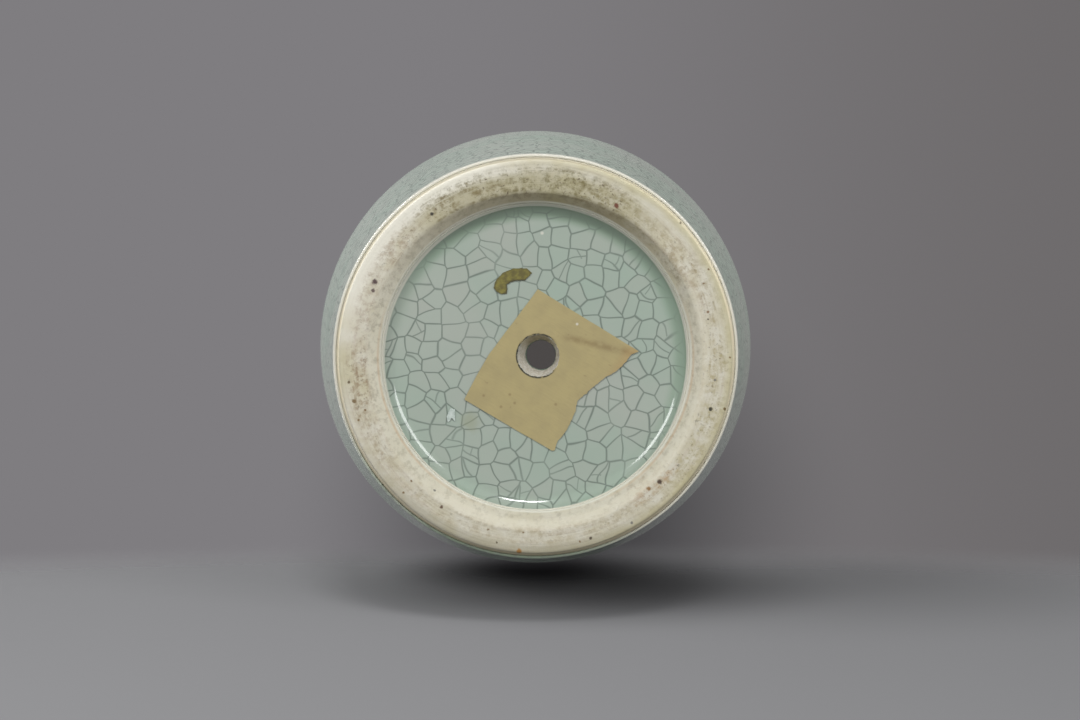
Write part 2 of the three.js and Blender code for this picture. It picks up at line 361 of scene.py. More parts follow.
def note_rise(piece, rings, start, way):
    """Keeps at each point how far up the outline it is from a starting ring, in radii, so that cracks keep
    their shape there. The way is -1 where the rings go down."""
    rings = np.array(rings)
    steps = np.linalg.norm(np.diff(rings[:, 2:], axis=0), axis=1)
    reach = np.maximum((rings[1:, 2] + rings[:-1, 2]) / 2, LEAST_REACH)
    rise = np.concatenate([[0], np.cumsum(steps / reach)])
    rise = way * (rise - rise[start])
    note(piece, "rise", np.repeat(rise, BODY_SIDES))


def above_split(rings):
    """Which rings are up where the vase is narrow and a cell of the crackle takes more of the way round."""
    return np.flatnonzero(np.array(rings)[:, 3] > CELL_SPLIT)


def throw(loops):
    """Moves the wall in and out by the faint ridges of throwing."""
    turn = 2 * math.pi * loops[..., 2] / THROWING_STEP + rough(loops, THROWING_WANDER)
    ridge = THROWING_DEPTH * np.sin(turn)
    radius = np.linalg.norm(loops[..., :2], axis=-1)
    loops[..., :2] *= (1 + ridge / radius)[..., None]


def make_outer_coat():
    face = np.concatenate([outside(), lip_arc(lip_reach, 0, math.pi / 2 - GAP / lip_reach)[1:]])
    back = face - GLAZE * outward(face)
    crest = half_round(face[-1], back[-1])
    hem = half_round(back[0] - GAP * outward(face)[0], face[0], HEM_STEPS)
    rings = on_axis(np.concatenate([face, crest, back[::-1], hem]))
    loops = loops_of(rings, BODY_SIDES)
    throw(loops)
    piece = loops_mesh("outer_glaze_coat", loops)
    note_rise(piece, rings, start=above_split(rings)[0], way=1)
    return piece


def make_inner_coat():
    skin = outside()
    wall = WALL_AT_FOOT + (WALL_AT_LIP - WALL_AT_FOOT) * skin[:, 1] / lip_edge[1]
    depth = GLAZE + 2 * GAP + wall
    back = skin - depth[:, None] * outward(skin)
    face = back - GLAZE * outward(skin)
    crest = math.pi / 2 + GAP / lip_reach
    pool_top = floor_top + POOL_WIDTH
    wall_back = back[back[:, 1] > floor_bottom]
    wall_face = face[face[:, 1] > pool_top]
    floor_edge = np.interp(floor_top, face[:, 1], face[:, 0])
    pool_start = at(np.interp(pool_top, face[:, 1], face[:, 0]), pool_top)
    corner = at(floor_edge, floor_top)
    pool_end = at(floor_edge - POOL_WIDTH, floor_top)
    pool = curve(pool_start, corner, corner, pool_end, POOL_STEPS)
    lip_back = lip_arc(lip_reach - GLAZE, math.pi, crest)[1:]
    lip_face = lip_arc(lip_reach, crest, math.pi)[:-1]
    edge = half_round(lip_back[-1], lip_face[0])
    underside_edge = np.interp(floor_bottom, back[:, 1], back[:, 0])
    rings = spread(floor_bottom, underside_edge, UNDERSIDE_RINGS)
    rings += on_axis(np.concatenate([wall_back, lip_back, edge, lip_face, wall_face[::-1], pool]))
    rings += spread(floor_top, pool_end[0], FLOOR_RINGS)[::-1]
    loops = loops_of(rings, BODY_SIDES)
    throw(loops)
    piece = loops_mesh("inner_glaze_coat", loops)
    note_rise(piece, rings, start=above_split(rings)[-1], way=-1)
    return piece


def make_base_coat():
    turn = np.linspace(0, COVE_SWEEP, COVE_STEPS)
    cove_radius = base_rim - COVE_RADIUS * (1 - np.sin(turn))
    cove_height = RECESS_DEPTH - COVE_RADIUS * (1 - np.cos(turn))
    cove = np.stack([cove_radius, cove_height], axis=1)
    back_edge = at(base_rim, cove[-1, 1] + GLAZE)
    bead = half_round(cove[-1], back_edge, HEM_STEPS)
    top = RECESS_DEPTH + GLAZE
    rings = spread(RECESS_DEPTH, cove[0, 0], BASE_RINGS)
    rings += on_axis(np.concatenate([cove[1:], bead, [back_edge], [at(base_rim, top)]]))
    rings += spread(top, base_rim, HIDDEN_RINGS)[::-1][1:]
    loops = loops_of(rings, BODY_SIDES)
    plan = raised(loops[..., :2])
    loops[..., 2] += rough(plan, GLAZE_WAVE)
    away = loops[..., :2] - BORE_AT
    from_edge = np.linalg.norm(away, axis=-1) - BORE_FACE_RADIUS
    chip = np.clip(1 - np.abs(from_edge) / HOLE_WEAR, 0, 1) * rough(plan, HOLE_CHIPS)
    loops[..., :2] += chip[..., None] * np.sign(away)
    return loops_mesh("base_glaze_coat", loops)


def make_disc():
    wall = [tuple(bore_ring(z)) for z in np.linspace(disc_top, disc_bottom, BORE_RINGS)[1:-1]]
    bottom = spread(disc_bottom, disc_rim, HIDDEN_RINGS)
    top = spread(disc_top, disc_rim, HIDDEN_RINGS)[::-1]
    loops = loops_of(bottom + top + wall, BODY_SIDES)
    away = loops[..., :2] - BORE_AT
    distance = np.linalg.norm(away, axis=-1)
    near = np.clip(1 - (distance - BORE_FACE_RADIUS) / HOLE_WEAR, 0, 1)
    loops[..., :2] += away * (near * rough(loops, BORE_WALL) / distance)[..., None]
    return loops_mesh("base_disc_bored", loops)


def turned_outline(outline):
    """An outline with more points across the resting face and the bevel, where the turning shows."""
    fine = []
    for a, b in zip(outline, np.roll(outline, -1, axis=0)):
        is_turned = max(a[1], b[1]) < RING_BEVEL_RISE
        count = max(1, round(np.linalg.norm(b - a) / FINE_STEP)) if is_turned else 1
        fine += [a + (b - a) * k / count for k in range(count)]
    return fine


def make_foot():
    skin = outside()
    clay = skin - (GLAZE + GAP) * outward(skin)
    side_top = at(np.interp(disc_top, clay[:, 1], clay[:, 0]), disc_top)
    rebate = disc_rim + GAP
    inner_flat = at(ring_inner + RING_BEVEL, 0)
    outer_flat = at(clay[0, 0] - RING_CHAMFER, 0)
    corners = [inner_flat, outer_flat, clay[0], side_top, at(rebate, disc_top), at(rebate, ledge)]
    corners += [at(ring_inner, ledge), at(ring_inner, RING_BEVEL_RISE)]
    outline = turned_outline(rounded(corners, FOOT_ROUNDING))
    loops = loops_of(on_axis(outline), FOOT_SIDES)
    radius = np.linalg.norm(loops[..., :2], axis=-1)
    towards = loops[..., :2] / radius[..., None]
    left = np.clip(-towards[..., 0], 0, 1)
    up = np.clip(-towards[..., 1], 0, 1)
    down = np.clip(towards[..., 1], 0, 1)
    drift = BEVEL_LEFT * left**2 + BEVEL_LOW * down**1.5 - BEVEL_TOP * up**2
    near = np.clip(1 - np.abs(radius - inner_flat[0]) / RING_BEVEL, 0, 1)
    loops[..., :2] += (drift * near)[..., None] * towards
    low = np.clip(1 - loops[..., 2] / TURNED_RISE, 0, 1)
    turn = 2 * math.pi * radius / GROOVE_STEP + rough(loops, GROOVE_WANDER)
    groove = 0.5 + 0.5 * np.sin(turn)
    pits = np.clip(rough(loops, PITS) - PIT_SHARE, 0, 1)
    worn = np.clip(0.5 + rough(loops, WEAR), 0, 1)
    loops[..., 2] += low * (GROOVE_DEPTH * groove * worn + PIT_DEPTH * pits + WEAR_DEPTH * worn)
    return loops_mesh("foot_ring_turned", loops)


def edge_reach(outline, centre, angles):
    """How far a ray at each angle runs from the centre to the outline, and the edge that it meets."""
    reach = np.full(len(angles), np.inf)
    met = np.zeros(len(angles), int)
    ray = rays(angles)
    for i, start in enumerate(outline):
        edge = outline[(i + 1) % len(outline)] - start
        gap = start - centre
        cross = ray[:, 0] * edge[1] - ray[:, 1] * edge[0]
        # a ray along the edge crosses it nowhere
        with np.errstate(divide="ignore", invalid="ignore"):
            along = (gap[0] * edge[1] - gap[1] * edge[0]) / cross
            share = (gap[0] * ray[:, 1] - gap[1] * ray[:, 0]) / cross
        hit = (share >= 0) & (share <= 1) & (along > 0) & (along < reach)
        reach[hit] = along[hit]
        met[hit] = i
    return reach, met


def paper_faces(rows, lift):
    """The lower and the upper face of paper on the base, from rows of its plan, moved down by a lift."""
    upper = raised(rows, paper_z + PAPER - lift)
    return upper - (0, 0, PAPER), upper


def paper_loops(rows, lift):
    """Loops over both faces of a sheet of paper, out along one and back along the other."""
    lower, upper = paper_faces(rows, lift)
    return np.concatenate([lower, upper[::-1]])


def make_tape():
    outline = MILLIMETRE * np.array(TAPE_TORN + TAPE_CUT)
    angles = turns(TAPE_SIDES)
    reach, met = edge_reach(outline, TAPE_HOLE, angles)
    ray = rays(angles)
    rim = raised(TAPE_HOLE + reach[:, None] * ray)
    is_torn = met < len(TAPE_TORN)
    reach = reach + np.where(is_torn, rough(rim, TORN_EDGE), rough(rim, CUT_EDGE))
    hole = BORE_FACE_RADIUS + rough(rim, DRILLED_EDGE)
    length = hole + np.linspace(0, 1, TAPE_ROWS)[:, None] * (reach - hole)
    local = length[..., None] * ray
    cos = math.cos(TAPE_TURN)
    sin = math.sin(TAPE_TURN)
    x = BORE_AT[0] + cos * local[..., 0] - sin * local[..., 1]
    y = BORE_AT[1] + sin * local[..., 0] + cos * local[..., 1]
    rows = np.stack([x, y], axis=-1)
    along = TAPE_HOLE[0] + local[..., 0]
    curl = np.clip((along - CURL_START) / (TAPE_LENGTH - CURL_START), 0, 1) ** 2
    lift = ripple(raised(rows), *TAPE_RIPPLE) + CURL_LIFT * curl
    return loops_mesh("tape_patch_torn", paper_loops(rows, lift))


def along_edge(corners, count):
    """Points along an edge that is given by its corners in millimetres, as many in each stretch."""
    corners = MILLIMETRE * np.array(corners)
    share = np.linspace(0, len(corners) - 1, count)
    return np.stack([np.interp(share, np.arange(len(corners)), column) for column in corners.T], axis=1)


def make_label():
    outer = along_edge(LABEL_OUTER, LABEL_POINTS)
    inner = along_edge(LABEL_INNER, LABEL_POINTS)
    across = np.linspace(0, 1, LABEL_ROWS)[None, :, None]
    rows = outer[:, None] + across * (inner - outer)[:, None]
    plan = raised(rows)
    rows = rows + np.stack([rough(plan, LABEL_EDGE_X), rough(plan, LABEL_EDGE_Y)], axis=-1)
    lower, upper = paper_faces(rows, ripple(plan, *LABEL_RIPPLE))
    loops = np.concatenate([lower, upper[:, ::-1]], axis=1)
    piece = loops_mesh("label_crescent", loops, closed=False)
    edge = np.broadcast_to(across[..., 0], rows.shape[:2])
    note(piece, "edge", np.concatenate([edge, edge[:, ::-1]], axis=1))
    return piece


def make_fleck():
    outline = MILLIMETRE * np.array(FLECK_EDGE)
    middle = outline.mean(axis=0)
    angles = turns(FLECK_SIDES)
    ray = rays(angles)
    reach, _ = edge_reach(outline, middle, angles)
    reach = reach * (1 + rough(raised(ray), FLECK_RAGGED))
    share = np.linspace(FLECK_START, 1, FLECK_ROWS)[:, None, None]
    rows = middle + share * reach[:, None] * ray
    lift = ripple(raised(rows), *FLECK_RIPPLE)
    return loops_mesh("paper_fleck_white", paper_loops(rows, lift), closed=False)


def paint(red, green, blue):
    """A colour as it looks on a screen, from 0 to 255, turned into what a shader takes."""
    shares = np.array([red, green, blue]) / 255
    linear = np.where(shares <= 0.04045, shares / 12.92, ((shares + 0.055) / 1.055) ** 2.4)
    return (*linear.tolist(), 1.0)


ORIGIN = (0, 0, 0)
EVEN = (0.35, 0.65)  # fade of a noise that mixes two colours in about equal shares
CELL_RANDOMNESS = 0.85  # of the crackle's first cells


class Painter:
    """Short ways to add the nodes that paint a material or the world."""

    def __init__(self, owner):
        owner.use_nodes = True
        self.nodes = owner.node_tree.nodes
        self.links = owner.node_tree.links

    def add(self, kind, inputs=None, **settings):
        node = self.nodes.new(kind)
        for name, value in settings.items():
            setattr(node, name, value)
        for key, value in (inputs or {}).items():
            self.put(node.inputs[key], value)
        return node

    def put(self, socket, value):
        if isinstance(value, bpy.types.NodeSocket):
            self.links.new(value, socket)
        else:
            socket.default_value = value

    def math(self, operation, a, b=0.0):
        return self.add("ShaderNodeMath", {0: a, 1: b}, operation=operation).outputs[0]

    plus = partialmethod(math, "ADD")
    minus = partialmethod(math, "SUBTRACT")
    over = partialmethod(math, "DIVIDE")
    most = partialmethod(math, "MAXIMUM")
    above = partialmethod(math, "GREATER_THAN")
    absolute = partialmethod(math, "ABSOLUTE")

    def times(self, first, *others):
        for other in others:
            first = self.math("MULTIPLY", first, other)
        return first

    def vectors(self, operation, a, b=ORIGIN):
        return self.add("ShaderNodeVectorMath", {0: a, 1: b}, operation=operation).outputs

    def shift(self, place, by):
        return self.vectors("ADD", place, by)["Vector"]

    def distance(self, place, point=ORIGIN):
        return self.vectors("DISTANCE", place, point)["Value"]

    def scaled(self, vector, amount):
        return self.add("ShaderNodeVectorMath", {0: vector, "Scale": amount}, operation="SCALE").outputs[0]

    def turned(self, vector, angle):
        inputs = {"Vector": vector, "Angle": angle}
        return self.add("ShaderNodeVectorRotate", inputs, rotation_type="Z_AXIS").outputs[0]

    def join(self, x, y, z=0.0):
        return self.add("ShaderNodeCombineXYZ", {0: x, 1: y, 2: z}).outputs[0]

    def parts(self, vector):
        return self.add("ShaderNodeSeparateXYZ", {0: vector}).outputs

    def fade(self, value, low, high):
        """0 up to low and 1 from high on, smooth between them. High may be the smaller one."""
        inputs = {"Value": value, "From Min": low, "From Max": high}
        return self.add("ShaderNodeMapRange", inputs, interpolation_type="SMOOTHSTEP").outputs[0]

    def span(self, value, low, high, soft):
        """1 from low to high and 0 outside, with soft ends."""
        start = self.fade(value, low - soft, low + soft)
        return self.times(start, self.fade(value, high + soft, high - soft))

    def mix(self, share, a, b):
        return self.add("ShaderNodeMix", {0: share, 6: a, 7: b}, data_type="RGBA").outputs[2]

    def choose(self, share, a, b):
        return self.add("ShaderNodeMix", {0: share, 2: a, 3: b}).outputs[0]


class Finish(Painter):
    """A material that is painted in coats, by its place on the vase."""

    def __init__(self, name, colour):
        self.material = bpy.data.materials.new(name)
        super().__init__(self.material)
        self.colour = colour
        self.shader = self.nodes["Principled BSDF"]
        self.place = self.add("ShaderNodeTexCoord").outputs["Object"]
        self.x, self.y, self.z = self.parts(self.place)
        self.plan = self.join(self.x, self.y)
        self.radius = self.distance(self.plan)

    def noise(self, size, detail=3.0, roughness=0.55, place=None):
        where = self.place if place is None else place
        inputs = {"Vector": where, "Scale": 1 / size, "Detail": detail, "Roughness": roughness}
        return self.add("ShaderNodeTexNoise", inputs).outputs[0]

    def cells(self, place, size, feature):
        inputs = {"Vector": place, "Scale": 1 / size, "Randomness": CELL_RANDOMNESS}
        return self.add("ShaderNodeTexVoronoi", inputs, feature=feature, voronoi_dimensions="2D").outputs

    def facing(self, degrees):
        """1 on the side of the vase at this heading, 0 a quarter turn from it and -1 behind."""
        turn = math.radians(degrees)
        side = self.plus(self.times(self.x, math.cos(turn)), self.times(self.y, math.sin(turn)))
        return self.over(side, self.radius)

    def side(self, degrees, low, high):
        """A fade towards one side of the vase."""
        return self.fade(self.facing(degrees), low, high)

    def ring(self, low, high):
        """A fade by the distance from the axis."""
        return self.fade(self.radius, low, high)

    def around(self, point, outer, inner):
        """1 up to an inner distance from a point of the plan and 0 from the outer one on."""
        return self.fade(self.distance(self.plan, (*point, 0)), outer, inner)

    def coat(self, colour, *shares):
        """Lays a colour over what is there, by the product of some shares."""
        self.colour = self.mix(self.times(*shares), self.colour, colour)

    def show(self, roughness, bumps, depth):
        self.put(self.shader.inputs["Base Color"], self.colour)
        self.put(self.shader.inputs["Roughness"], roughness)
        bump = self.add("ShaderNodeBump", {"Height": bumps, "Distance": depth})
        self.put(self.shader.inputs["Normal"], bump.outputs[0])
        return self.material


# Sides of the vase: heading in degrees, and how far towards it a fade starts and ends
LOW_SIDE = (92, 0.68, 0.97)
LOWER_LEFT = (110, 0.45, 0.95)
UPPER_SIDE = (-70, -0.5, 0.3)
TOP_SIDE = (-90, 0.6, 0.98)
LEFT_SIDE = (175, 0.6, 1.0)
UPPER_LEFT = (205, 0.5, 1.0)
HEM_SIDE = (-105, 0.0, 0.95)

# Celadon glaze
CELADON_GREY = paint(168, 178, 167)
CELADON_GREEN = paint(160, 177, 163)
CELADON_WARM = paint(172, 173, 164)
CELADON_POOL = paint(138, 161, 140)
# darker green for painted shade on the glaze
CELADON_SHADE = paint(104, 126, 102)
CELADON_THIN = paint(222, 220, 207)
GLUE = paint(142, 146, 108)
CLOUD_SIZE = 0.05
WARM_SHARE = 0.35
BASE_GLOSS = 0.06  # least roughness under the base, and on the body
BODY_GLOSS = 0.12
GLOSS_RANGE = 0.08
GLOSS_SIZE = 0.008
GLAZE_BUMP = 0.00008
GLAZE_BUMP_SIZE = 0.01
BODY_SHINE = 0.3
BASE_SHINE = 0.85
HEM_RISE = 0.006  # reach of the thin glaze above its lower edge
LIP_FALL = 0.003  # and below the lip's crest
LIP_SHARE = 0.6

# Crackle in the glaze
CRACK = paint(102, 115, 105)
BASE_CRACK = 0.076  # of a cell, from the middle of a crack to its faint edge
BODY_CRACK = 0.085
FOOT_CRACK = 0.16  # low on the body, where the glaze is thick
THICK_SPAN = (0.02, 0.09)  # heights between which it thins
BASE_CELL = 0.0067
BODY_CELL = 0.072  # as a share of the radius there
NECK_CELL = 0.12
BACK_CHART = 20.0  # how far the back's chart is from the front's
SPLIT = 0.78  # share of the cells that no later crack splits
SPLIT_TWICE = 0.6  # share of those that no third crack splits
LATER = 0.85  # how clear a later crack is, and a third one beside it
THIRD = 0.8
BEND_SIZE = 1.2  # of a cell, as is how far the later cracks bend
BEND = 0.6
WARP_SIZE = 0.016
BASE_WARP = 0.006
BODY_WARP = 0.06
WEAR_SIZE = 0.02
FAINT = 0.5  # strength of the faintest cracks, and what the clearest have more
CLEARER = 0.4


def cracks(mat, flat, cell, crack):
    """Crack lines over flat coordinates, from 0 to 1, with a random share for each first cell and its middle.
    Some first cells are split by a later crack, and some of those by a third one that stops at it."""
    here = mat.cells(flat, cell, "F1")
    first = mat.fade(mat.cells(flat, cell, "DISTANCE_TO_EDGE")["Distance"], crack, 0)
    red, green, blue = mat.add("ShaderNodeSeparateColor", {0: here["Color"]}).outputs
    away = mat.vectors("SUBTRACT", flat, here["Position"])["Vector"]
    along, across, _ = mat.parts(mat.turned(away, mat.times(red, math.pi)))
    bend = mat.minus(mat.noise(cell * BEND_SIZE, 0.0, place=flat), 0.5)
    bend = mat.times(bend, cell * BEND)
    width = mat.times(crack, cell)
    second = mat.fade(mat.absolute(mat.plus(along, bend)), width, 0)
    third = mat.fade(mat.absolute(mat.plus(across, bend)), width, 0)
    third = mat.times(third, mat.above(along, 0.0), mat.above(green, SPLIT_TWICE))
    later = mat.most(second, mat.times(third, THIRD))
    later = mat.times(later, mat.above(blue, SPLIT), LATER)
    return mat.most(first, later), red, here["Position"]


def warp(mat, amount):
    """A smooth push that bends the cracks."""
    inputs = {"Vector": mat.place, "Scale": 1 / WARP_SIZE, "Detail": 1.0}
    swirl = mat.add("ShaderNodeTexNoise", inputs).outputs["Color"]
    return mat.scaled(mat.shift(swirl, (-0.5, -0.5, -0.5)), amount)


def either(mat, is_second, first, second):
    """The second values where the mask says so, and else the first."""
    return [mat.choose(is_second, a, b) for a, b in zip(first, second)]


def cracks_round(mat, rise, cell, crack):
    """Cracks round the vase: a chart of the front and one of the back, which meet along the front's cracks.
    Gives the lines, a random share for each cell and the rise of its middle."""
    push = warp(mat, BODY_WARP)
    front_angle = mat.math("ARCTAN2", mat.x, mat.times(mat.y, -1.0))
    back_angle = mat.plus(mat.math("ARCTAN2", mat.x, mat.y), BACK_CHART)
    front = cracks(mat, mat.shift(mat.join(front_angle, rise), push), cell, crack)
    back = cracks(mat, mat.shift(mat.join(back_angle, rise), push), cell, crack)
    front_middle = mat.parts(front[2])
    back_middle = mat.parts(back[2])
    is_back = mat.above(mat.absolute(front_middle[0]), math.pi / 2)
    return either(mat, is_back, (*front[:2], front_middle[1]), (*back[:2], back_middle[1]))


def turned_cracks(mat, crack):
    """Cracks with cells about as large all over the vase: one set for the body and one for the neck, where a
    cell takes more of the way round. They meet along the body's cracks."""
    rise = mat.add("ShaderNodeAttribute", attribute_name="rise").outputs["Fac"]
    body = cracks_round(mat, rise, BODY_CELL, crack)
    neck = cracks_round(mat, rise, NECK_CELL, crack)
    return either(mat, mat.above(body[2], 0.0), body[:2], neck[:2])


def celadon(mat, thin, pooled, lines, cell, gloss=BASE_GLOSS, glue=0.0, painted_shade=0.0):
    """Grey-green glaze: pale where thin, green where pooled, cracked into cells that differ a little, and a
    darker painted shade where it is asked for.
    """
    mat.coat(CELADON_GREEN, mat.fade(mat.noise(CLOUD_SIZE, 4.0), *EVEN))
    mat.coat(CELADON_WARM, cell, WARM_SHARE)
    mat.coat(CELADON_POOL, pooled)
    # painted shade: darker green where shade falls
    mat.coat(CELADON_SHADE, painted_shade)
    worn = mat.fade(mat.noise(WEAR_SIZE), 0.25, 0.6)
    mat.coat(CRACK, lines, mat.plus(mat.times(worn, CLEARER), FAINT))
    mat.coat(GLUE, glue)
    mat.coat(CELADON_THIN, thin)
    roughness = mat.plus(mat.times(mat.noise(GLOSS_SIZE), GLOSS_RANGE), gloss)
    return mat.show(roughness, mat.noise(GLAZE_BUMP_SIZE, 1.0), GLAZE_BUMP)


def thin_lip(mat):
    return mat.times(mat.fade(mat.z, height - LIP_FALL, height), LIP_SHARE)


def body_glaze():
    mat = Finish("body_glaze", CELADON_GREY)
    mat.shader.inputs["Specular IOR Level"].default_value = BODY_SHINE
    hem = mat.fade(mat.z, GLAZE_LINE + HEM_RISE, GLAZE_LINE)
    # painted shade: darker green just above the glaze's lower edge on the +Y side, where the vase lies, and
    # the pale hem dimmed towards that side
    painted_shade = mat.times(hem, mat.side(*LOW_SIDE), 0.85)
    thin_hem = mat.times(hem, mat.choose(mat.side(*LOWER_LEFT), 1.0, 0.15))
    thin = mat.most(thin_hem, thin_lip(mat))
    pooled = mat.times(mat.span(mat.z, GLAZE_LINE + 0.001, GLAZE_LINE + 0.004, 0.001), 0.3)
    inputs = {"Value": mat.z, "From Min": THICK_SPAN[0], "From Max": THICK_SPAN[1]}
    inputs |= {"To Min": FOOT_CRACK, "To Max": BODY_CRACK}
    crack = mat.add("ShaderNodeMapRange", inputs).outputs[0]
    lines, cell = turned_cracks(mat, crack)
    return celadon(mat, thin, pooled, mat.times(lines, 0.8), cell, gloss=BODY_GLOSS, painted_shade=painted_shade)


def inner_glaze():
    mat = Finish("inner_glaze", CELADON_GREY)
    pooled = mat.times(mat.fade(mat.z, floor_top + POOL_WIDTH, floor_top), 0.7)
    return celadon(mat, thin_lip(mat), pooled, *turned_cracks(mat, BODY_CRACK))


# Marks under the base: old glue, a pinhole, chips round the hole and the pale edge, which is widened on the
# upper side as a painted highlight
GLUE_AT = (-0.0245, 0.0245)
GLUE_RAGGED = 0.004
PINHOLE_AT = (0.0024, -0.0463)
CHIP_SPAN = (BORE_FACE_RADIUS + 0.0006, BORE_FACE_RADIUS + 0.0003)
COVE_SPAN = (base_rim - COVE_RADIUS - 0.0025, base_rim - 0.003)
EDGE_SPAN = (base_rim - 0.0006, base_rim - 0.0001)
# a painted highlight: the pale edge is widened on the shaded upper side
UPPER_WIDER = 0.0006  # how much wider the pale edge is at the upper side, and at the upper left
LEFT_WIDER = 0.0005
STOP_SPAN = (base_rim + 0.012, base_rim + 0.005)  # where the cracks die out, before it is made ragged
STOP_RAGGED = 0.012
STOP_UPPER = 0.006


def base_glaze():
    mat = Finish("base_glaze", CELADON_GREY)
    mat.shader.inputs["Specular IOR Level"].default_value = BASE_SHINE
    upper = mat.side(*UPPER_SIDE)
    left = mat.choose(mat.side(*LEFT_SIDE), 1.0, 0.35)
    # the glaze pools in the cove, but how much pool colour each side gets is painted light and shade: more on
    # the upper side, less on the left
    pooled = mat.times(mat.ring(*COVE_SPAN), mat.choose(upper, 0.28, 0.85), left)
    # painted shade: darker green at the top of the cove
    painted_shade = mat.times(pooled, mat.side(*TOP_SIDE), 0.6)
    # painted highlight: the pale edge widened on the upper side and the upper left
    highlight_wider = mat.times(mat.side(*UPPER_LEFT), LEFT_WIDER)
    highlight_wider = mat.plus(mat.times(upper, UPPER_WIDER), highlight_wider)
    edge = mat.fade(mat.plus(mat.radius, highlight_wider), *EDGE_SPAN)
    flat = mat.shift(mat.plan, warp(mat, BASE_WARP))
    lines, cell, _ = cracks(mat, flat, BASE_CELL, BASE_CRACK)
    reach = mat.plus(mat.radius, mat.times(mat.noise(WEAR_SIZE, place=flat), STOP_RAGGED))
    reach = mat.plus(reach, mat.times(upper, STOP_UPPER))
    lines = mat.times(lines, mat.fade(reach, *STOP_SPAN))
    from_glue = mat.distance(mat.plan, (*GLUE_AT, 0))
    ragged = mat.times(mat.noise(GLUE_RAGGED, place=mat.plan), GLUE_RAGGED)
    glue = mat.times(mat.fade(mat.plus(from_glue, ragged), 0.0075, 0.003), 0.4)
    pinhole = mat.times(mat.around(PINHOLE_AT, 0.0009, 0.0003), 0.7)
    thin = mat.most(mat.most(edge, mat.around(BORE_AT, *CHIP_SPAN)), pinhole)
    return celadon(mat, thin, pooled, lines, cell, glue=glue, painted_shade=painted_shade)


# Bare clay of the foot
CLAY_PALE = paint(214, 210, 194)
CLAY_CREAM = paint(204, 198, 176)
CLAY_YELLOW = paint(192, 184, 142)
CLAY_PINK = paint(190, 175, 162)
CLAY_WHITE = paint(240, 237, 224)
# grime and painted shade, at the top of the bevel
GRIME_AND_SHADE = paint(128, 108, 72)
GRIT = paint(82, 68, 50)
RUST = paint(190, 140, 84)
HEM_TAN = paint(186, 177, 150)
HEM_PALE = paint(240, 228, 196)
OLIVE = paint(150, 142, 98)
# painted light on the bevel's sides, and on its worn outer edge
BEVEL_PALE = paint(224, 219, 200)
DUST = paint(70, 58, 44)
UMBER = paint(122, 98, 64)
STONE = paint(118, 116, 110)
SOIL = paint(140, 134, 112)
# white for painted highlights: the pale line's upper side and the foot's outer rim
EDGE_WHITE = paint(244, 241, 228)
# painted shade on the lower side of the bevel
BEVEL_SHADE = paint(150, 150, 128)
CLAY_ROUGHNESS = 0.82
CLAY_BUMP = 0.00012
MOTTLE_SIZE = 0.006
STREAK_SIZE = 0.006
STREAK_RADIUS = 0.02  # of the circle that the streaks are drawn out round
STREAK_CLOSENESS = 6.0
BLUSH_SIZE = 0.03
GRAIN_SIZE = 0.0011
BLOT_SIZE = 0.0026
BREAK_SIZE = 0.009
SPECK_RAGGED = 0.0012

# Specks on the foot: place, size across and colour
SPECKS = (
    (0.0297, -0.0559, 0.0022, paint(104, 48, 32)),
    (-0.0382, -0.0529, 0.0015, paint(26, 24, 22)),
    (-0.0592, -0.0279, 0.0022, paint(66, 42, 50)),
    (-0.0600, -0.0248, 0.0016, paint(84, 66, 66)),
    (0.0647, 0.0190, 0.0016, paint(24, 26, 22)),
    (0.0699, 0.0190, 0.0012, paint(112, 92, 50)),
    (0.0459, 0.0459, 0.0020, paint(58, 38, 28)),
    (0.0418, 0.0485, 0.0018, paint(140, 104, 58)),
    (-0.0061, 0.0718, 0.0022, paint(158, 110, 42)),
    (-0.0349, 0.0552, 0.0013, paint(92, 66, 48)),
    (0.0533, -0.0496, 0.0011, paint(82, 72, 44)),
    (-0.0690, 0.0090, 0.0013, paint(92, 76, 52)),
    (-0.0670, 0.0160, 0.0017, paint(118, 96, 62)),
    (-0.0144, 0.0686, 0.0010, paint(84, 74, 50)),
    (0.0634, -0.0168, 0.0012, paint(128, 98, 66)),
    (0.0636, -0.0326, 0.0009, UMBER),
    (0.0618, -0.0275, 0.0008, UMBER),
    (0.0636, -0.0142, 0.0008, DUST),
    (0.0717, -0.0002, 0.0009, UMBER),
    (0.0662, 0.0083, 0.0010, STONE),
    (-0.0629, 0.0194, 0.0009, UMBER),
    (-0.0655, 0.0231, 0.0010, UMBER),
    (-0.0567, 0.0474, 0.0009, DUST),
    (-0.0460, 0.0456, 0.0008, UMBER),
    (-0.0489, 0.0500, 0.0009, UMBER),
    (-0.0375, 0.0492, 0.0010, STONE),
    (0.0204, 0.0670, 0.0013, DUST),
    (0.0164, 0.0681, 0.0008, UMBER),
    (-0.0176, 0.0636, 0.0011, UMBER),
    (-0.0046, 0.0647, 0.0008, UMBER),
    (0.0356, 0.0611, 0.0011, STONE),
)

